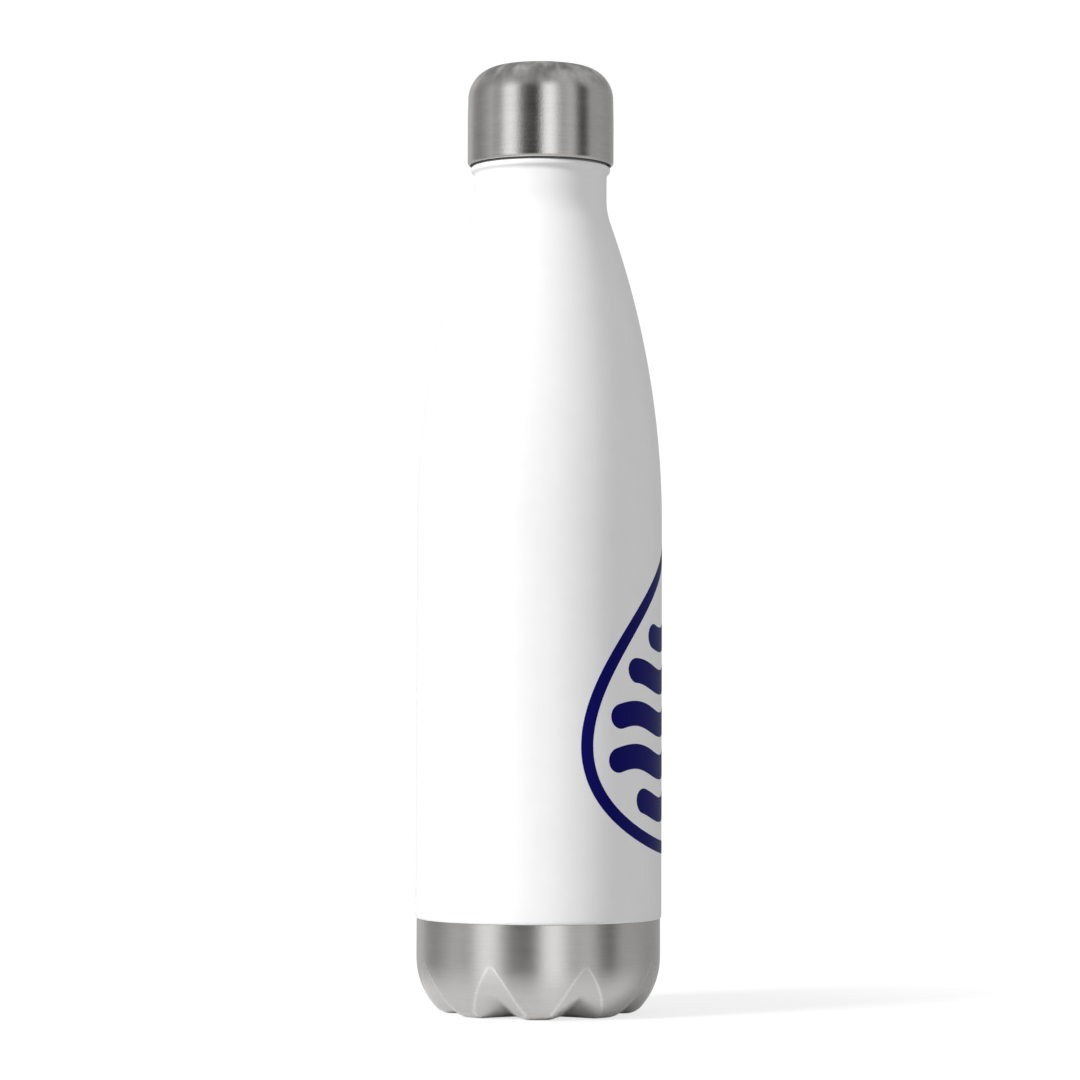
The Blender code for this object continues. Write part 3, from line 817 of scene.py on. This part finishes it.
def wave(height, half_length):
    """A wavy stripe with rounded ends, as its two edges."""
    share = np.sin(np.linspace(-pi / 2, pi / 2, 120))
    arcs = share * half_length
    middle = np.stack([arcs, height + WAVE_SWING * np.sin(arcs / WAVE_LENGTH * 2 * pi)], 1)
    end = np.clip((1 - np.abs(share)) * half_length / WAVE_HALF, 0, 1)
    taper = WAVE_HALF * np.sqrt(np.clip(1 - (1 - end) ** 2, 0, 1)) + 0.03
    return offset_line(middle, -taper, False), offset_line(middle, taper, False)


def make_print(ink):
    """Generic water motif: a drop in outline with wavy stripes inside it."""
    drop = drop_outline(DROP_HALF_WIDTH, DROP_LOW, DROP_HIGH, 360)
    decal("print_drop_outline", offset_line(drop, -DROP_STROKE / 2, True),
          offset_line(drop, DROP_STROKE / 2, True), True, ink)
    for i, height in enumerate(WAVE_HEIGHTS):
        beside = drop[np.abs(drop[:, 1] - height) < WAVE_HALF + WAVE_SWING]
        reach = np.abs(beside[:, 0]).min() - DROP_STROKE / 2 - WAVE_GAP
        decal(f"print_wave_{i + 1}", *wave(height, reach), False, ink)


# Cap and seal

def make_steel_cap(steel):
    """Spun cap: crown, corner, straight skirt and a lip that curls in under it."""
    end = radians(DOME_CORNER_END)
    corner_r = SKIRT_R - DOME_CORNER_R
    crown = (corner_r + DOME_CORNER_R * cos(end)) / cos(end)
    crown_z = CAP_TOP - crown
    line = arc(0.0, crown_z, crown, 90, DOME_CORNER_END, 26)[:-1]
    line[0] = (0.0, CAP_TOP)
    line += arc(corner_r, DOME_Z, DOME_CORNER_R, DOME_CORNER_END, 0, 30)
    lip = 1.3
    curl = 64.5
    lip_z = CAP_LIP + lip * sin(radians(curl))
    line += straight(line[-1], (CAP_R, DOME_Z - 6), 1.5)[1:]
    line += straight((CAP_R, DOME_Z - 6), (CAP_R, lip_z), 1.5)
    line += arc(CAP_R - lip, lip_z, lip, 0, -curl, 12)
    within = inside(line, CAP_WALL)
    within[0] = (0.0, CAP_TOP - CAP_WALL)
    piece = lathe("steel_cap", line + within[::-1], False, steel, columns=256)
    return fit(piece, "cap", "cap_shell")


def make_screw_plug(plastic):
    """Moulded plug: socket, flange, step and a hollow threaded tube with a dished foot."""
    flange_z = SEAL_TOP + 0.3
    step_z = 252.8
    step_r = 16.0
    bore_r = PLUG_R - 2.0
    socket_r = FLANGE_R - 1.6
    inner = [(0.0, PLUG_FOOT + 2), (bore_r - 0.6, PLUG_FOOT + 2)]
    inner += arc(bore_r - 0.6, PLUG_FOOT + 2.6, 0.6, -90, 0, 4)[1:]
    inner += straight((bore_r, PLUG_FOOT + 2.6), (bore_r, flange_z + 2), 2.0)[1:]
    inner += [(bore_r, flange_z + 2), (socket_r, flange_z + 2), (socket_r, SOCKET_TOP - 0.3)]
    inner += [(socket_r + 0.3, SOCKET_TOP), (FLANGE_R - 0.3, SOCKET_TOP)]
    # The thin black skirt that reaches down under the cap's lip stands for the shade in that gap.
    outer = [(FLANGE_R, SOCKET_TOP - 0.3), (FLANGE_R, flange_z), (SHADE_SKIRT_OUT, flange_z - 0.8)]
    outer += [(SHADE_SKIRT_OUT, SHADE_SKIRT_LOW + 0.1), (SHADE_SKIRT_OUT - 0.08, SHADE_SKIRT_LOW)]
    outer += [(SHADE_SKIRT_IN + 0.06, SHADE_SKIRT_LOW), (SHADE_SKIRT_IN, SHADE_SKIRT_LOW + 0.1)]
    outer += [(SHADE_SKIRT_IN, flange_z - 0.15), (SHADE_SKIRT_IN - 0.1, flange_z)]
    outer += [(step_r + 0.3, flange_z), (step_r, flange_z - 0.3)]
    outer += [(step_r, step_z + 0.4), (step_r - 0.3, step_z)]
    outer += [(PLUG_R + 0.3, step_z), (PLUG_R, step_z - 0.4)]
    outer += straight((PLUG_R, step_z - 0.4), (PLUG_R, PLUG_FOOT + 1.5), 0.28)[1:]
    outer += arc(PLUG_R - 1.5, PLUG_FOOT + 1.5, 1.5, 0, -90, 8)
    outer += [(11.6, PLUG_FOOT), (11.2, PLUG_FOOT + 0.15), (10.9, PLUG_FOOT + 0.5)]
    outer += [(4.2, PLUG_FOOT + 0.5), (3.9, PLUG_FOOT + 0.35), (3.5, PLUG_FOOT + 0.3)]
    outer += [(1.2, PLUG_FOOT + 0.3), (1.0, PLUG_FOOT + 0.15), (0.0, PLUG_FOOT + 0.1)]
    start = THREAD_Z - 1.5 * PITCH + 0.25
    thread = ridge(2.4, start, 1.35, 1.22, 0.3)

    def mould(radii, z, angles):
        on_tube = abs(radii[0] - PLUG_R) < 0.01 and z < step_z - 0.5
        return radii + thread(z, angles) if on_tube else radii

    piece = lathe("screw_plug", inner + outer, False, plastic, mould, columns=240)
    return fit(piece, "cap", "plug_body")


def make_silicone_ring(rubber):
    """Flat sealing ring with rounded edges and two raised lips on each face."""
    inner_r = 16.3
    outer = arc(SEAL_R - 0.5, SEAL_TOP - 0.6, 0.5, 90, 0, 5)
    outer += arc(SEAL_R - 0.5, SEAL_LOW + 0.6, 0.5, 0, -90, 5)
    under = [(19.0, SEAL_LOW + 0.1), (18.8, SEAL_LOW), (18.6, SEAL_LOW + 0.1),
             (17.8, SEAL_LOW + 0.1), (17.6, SEAL_LOW), (17.4, SEAL_LOW + 0.1)]
    inner = arc(inner_r + 0.4, SEAL_LOW + 0.5, 0.4, -90, -180, 4)
    inner += arc(inner_r + 0.4, SEAL_TOP - 0.5, 0.4, 180, 90, 4)
    over = [(17.4, SEAL_TOP - 0.1), (17.6, SEAL_TOP), (17.8, SEAL_TOP - 0.1),
            (18.6, SEAL_TOP - 0.1), (18.8, SEAL_TOP), (19.0, SEAL_TOP - 0.1)]
    piece = lathe("silicone_ring", outer + under + inner + over, True, rubber)
    return fit(piece, "seal", "seal_ring")


def finish_hidden_nodes(finishes):
    """Give the carried-over nodes inside the walls their materials."""
    for node, material in finishes.items():
        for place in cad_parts[node].material_slots:
            place.material = material


# Studio: places in metres, angles in degrees

CAMERA_PLACE = (0.000158, -1.09688, 0.093295)
CAMERA_PITCH = 2.4425  # upwards
CAMERA_ROLL = 0.17
CAMERA_LENS = 122.83
SENSOR = 36.0
KEY_AZIMUTH = -56.0  # from the camera's side, positive to the right
KEY_HEIGHT = 30.0
KEY_SPREAD = 15.0
KEY_STRENGTH = 2.85
AMBIENT = 0.53
BACKDROP = 1.05
BELOW = (0.62, 0.62, 0.615, 1.0)  # what steel reflects from under the horizon
FLOOR_RADIUS = 0.6
FLOOR_DROP = 0.00003  # keeps the floor clear of the feet
FADE = (0.07, 0.24)  # the floor's shadow fades out between these distances
CLEARING = (0.04, 0.09)  # between these distances the floor fades from reflections

# Cards round the bottle: direction in degrees from the camera, and brightness
CARDS = (
    (-180, 0.52), (-144, 0.58), (-128, 0.36), (-112, 0.31), (-96, 0.45), (-86, 0.57),
    (-74, 0.46), (-66, 0.60), (-57, 1.15), (-48, 1.28), (-40, 1.02), (-34, 0.55), (-28, 0.22),
    (-20, 0.07), (-8, 0.04), (-2, 0.26), (4, 0.96), (10, 1.32), (16, 1.36), (22, 1.12),
    (28, 0.70), (36, 0.46), (46, 0.62), (54, 0.54), (62, 0.20), (70, 0.06), (77, 0.14),
    (86, 0.42), (106, 0.44), (130, 0.37), (150, 0.38), (180, 0.52),
)


def make_camera():
    """The photograph's point of view: a long lens level with the lower body, tilted up a little."""
    data = bpy.data.cameras.new("camera")
    data.lens = CAMERA_LENS
    data.sensor_width = SENSOR
    data.clip_start = 0.05
    data.clip_end = 20.0
    camera = bpy.data.objects.new("camera", data)
    bpy.context.scene.collection.objects.link(camera)
    tilt = Matrix.Rotation(radians(90 + CAMERA_PITCH), 4, "X")
    roll = Matrix.Rotation(radians(CAMERA_ROLL), 4, "Z")
    camera.matrix_world = Matrix.Translation(CAMERA_PLACE) @ tilt @ roll
    bpy.context.scene.camera = camera


def make_key():
    """Broad soft key from the left, unseen in reflections, which the cards make."""
    data = bpy.data.lights.new("key", "SUN")
    data.energy = KEY_STRENGTH
    data.angle = radians(KEY_SPREAD)
    key = bpy.data.objects.new("key", data)
    bpy.context.scene.collection.objects.link(key)
    azimuth, height = radians(KEY_AZIMUTH), radians(KEY_HEIGHT)
    towards = (sin(azimuth) * cos(height), -cos(azimuth) * cos(height), sin(height))
    key.rotation_mode = "QUATERNION"
    key.rotation_quaternion = Vector(towards).to_track_quat("Z", "Y")
    key.visible_glossy = False


def make_world():
    """Cards round the horizon for reflections, an even glow for the rest, a white backdrop."""
    world = bpy.data.worlds.new("studio")
    bpy.context.scene.world = world
    world.use_nodes = True
    tree = world.node_tree
    tree.nodes.clear()

    def add(kind, inputs=None, **settings):
        return add_node(tree, kind, inputs, **settings)

    way = add("TexCoord").outputs["Generated"]
    split = add("SeparateXYZ", {"Vector": way})
    behind = add("Math", {0: split.outputs["Y"], 1: -1.0}, operation="MULTIPLY")
    azimuth = add("Math", {0: split.outputs["X"], 1: behind.outputs[0]}, operation="ARCTAN2")
    share = add("Math", {0: azimuth.outputs[0], 1: 1 / (2 * pi), 2: 0.5},
                operation="MULTIPLY_ADD")
    ramp = add("ValToRGB", {"Fac": share.outputs[0]})
    stops = ramp.color_ramp.elements
    while len(stops) < len(CARDS):
        stops.new(0.5)
    for stop, (angle, level) in zip(stops, CARDS):
        stop.position = (angle + 180) / 360
        stop.color = (level, level * 0.993, level * 0.985, 1.0)
    flat = add("VectorMath", {0: way, 1: (1.0, 1.0, 0.0)}, operation="MULTIPLY")
    round_way = add("VectorMath", {0: flat.outputs[0]}, operation="NORMALIZE")
    streaks = add("TexNoise", {"Vector": round_way.outputs[0], "Scale": 3.2, "Detail": 3.0,
                               "Roughness": 0.6})
    ceiling = add("MapRange", {"Value": streaks.outputs["Fac"], "From Min": 0.3,
                               "From Max": 0.7, "To Min": 0.26, "To Max": 0.62})
    high = add("MapRange", {"Value": split.outputs["Z"], "From Min": 0.35, "From Max": 0.62},
               interpolation_type="SMOOTHSTEP")
    above = add("Mix", {"Factor": high.outputs["Result"]}, data_type="RGBA")
    tree.links.new(ramp.outputs["Color"], above.inputs[6])
    tree.links.new(ceiling.outputs["Result"], above.inputs[7])
    low = add("MapRange", {"Value": split.outputs["Z"], "From Min": -0.3, "From Max": -0.85},
              interpolation_type="SMOOTHSTEP")
    cards = add("Mix", {"Factor": low.outputs["Result"]}, data_type="RGBA")
    tree.links.new(above.outputs[2], cards.inputs[6])
    cards.inputs[7].default_value = BELOW
    ray = add("LightPath")
    glossy = add("Background", {"Color": cards.outputs[2]})
    ambient = add("Background", {"Color": (AMBIENT, AMBIENT, AMBIENT, 1.0)})
    backdrop = add("Background", {"Color": (BACKDROP, BACKDROP, BACKDROP, 1.0)})
    first = add("MixShader", {0: ray.outputs["Is Glossy Ray"]})
    tree.links.new(ambient.outputs[0], first.inputs[1])
    tree.links.new(glossy.outputs[0], first.inputs[2])
    second = add("MixShader", {0: ray.outputs["Is Camera Ray"]})
    tree.links.new(first.outputs[0], second.inputs[1])
    tree.links.new(backdrop.outputs[0], second.inputs[2])
    out = add("OutputWorld")
    tree.links.new(second.outputs[0], out.inputs["Surface"])


def make_floor():
    """Pale table whose shadow fades out away from the bottle; clear to a view from below."""
    mesh = bpy.data.meshes.new("floor")
    disc = bmesh.new()
    bmesh.ops.create_circle(disc, cap_ends=True, segments=128, radius=FLOOR_RADIUS)
    disc.to_mesh(mesh)
    disc.free()
    floor = bpy.data.objects.new("floor", mesh)
    floor.location.z = -FLOOR_DROP
    bpy.context.scene.collection.objects.link(floor)
    made = Tree("pale_floor")
    tree = made.tree
    tree.nodes.remove(made.shader)
    distance = made.add("VectorMath", {0: made.place}, operation="LENGTH").outputs["Value"]
    fade = made.add("MapRange", {"Value": distance, "From Min": FADE[0], "From Max": FADE[1]},
                    interpolation_type="SMOOTHSTEP").outputs["Result"]
    shown = made.blend(fade, (0.3, 0.3, 0.3), (0.0, 0.0, 0.0))
    glow = made.spread(fade, 0.74, 1.06)
    matt = made.add("BsdfDiffuse", {"Color": shown})
    shine = made.add("Emission", {"Strength": glow})
    seen = made.add("AddShader")
    tree.links.new(matt.outputs[0], seen.inputs[0])
    tree.links.new(shine.outputs[0], seen.inputs[1])
    ray = made.add("LightPath")
    is_glossy = ray.outputs["Is Glossy Ray"]
    paleness = made.blend(is_glossy, (0.58, 0.58, 0.58), (0.92, 0.92, 0.92))
    matt_bounce = made.add("BsdfDiffuse", {"Color": paleness})
    clear = made.add("MapRange", {"Value": distance, "From Min": CLEARING[0],
                                        "From Max": CLEARING[1]},
                     interpolation_type="SMOOTHSTEP").outputs["Result"]
    clear = made.math("MULTIPLY", clear, is_glossy)
    bounce = made.add("MixShader", {0: clear})
    tree.links.new(matt_bounce.outputs[0], bounce.inputs[1])
    tree.links.new(made.add("BsdfTransparent").outputs[0], bounce.inputs[2])
    mix = made.add("MixShader", {0: ray.outputs["Is Camera Ray"]})
    tree.links.new(bounce.outputs[0], mix.inputs[1])
    tree.links.new(seen.outputs[0], mix.inputs[2])
    passed = ray.outputs["Transparent Depth"]
    from_below = made.math("MAXIMUM", made.add("NewGeometry").outputs["Backfacing"], passed)
    below = made.add("MixShader", {0: made.math("MINIMUM", from_below, 1.0)})
    tree.links.new(mix.outputs[0], below.inputs[1])
    tree.links.new(made.add("BsdfTransparent").outputs[0], below.inputs[2])
    tree.links.new(below.outputs[0], tree.nodes["Material Output"].inputs["Surface"])
    mesh.materials.append(made.material)


def main():
    """Build every piece, then the studio."""
    cap_steel = brushed_steel("brushed_cap_steel", -1.0, CAP_TONE, 0.21, 0.12,
                              dome=(DOME_Z + 1) * MM)
    base_steel = brushed_steel("brushed_base_steel", 1.0, BASE_TONE, 0.33, 0.10)
    satin = liner_steel()
    make_coated_shell(powder_coat())
    make_fluted_base(base_steel)
    make_vessel_liner(satin)
    make_vessel_bottom(satin)
    make_recess_disc(base_steel)
    make_print(navy_ink())
    make_steel_cap(cap_steel)
    make_screw_plug(moulded_plastic())
    make_silicone_ring(silicone())
    finish_hidden_nodes({"copper_foil": crinkled_copper(), "getter_clip": satin,
                         "getter_pellet": getter_powder(), "vacuum_seal": solder_glass(),
                         "foam_core": foam()})
    make_camera()
    make_key()
    make_world()
    make_floor()
    bpy.context.scene.view_settings.view_transform = "Standard"


main()
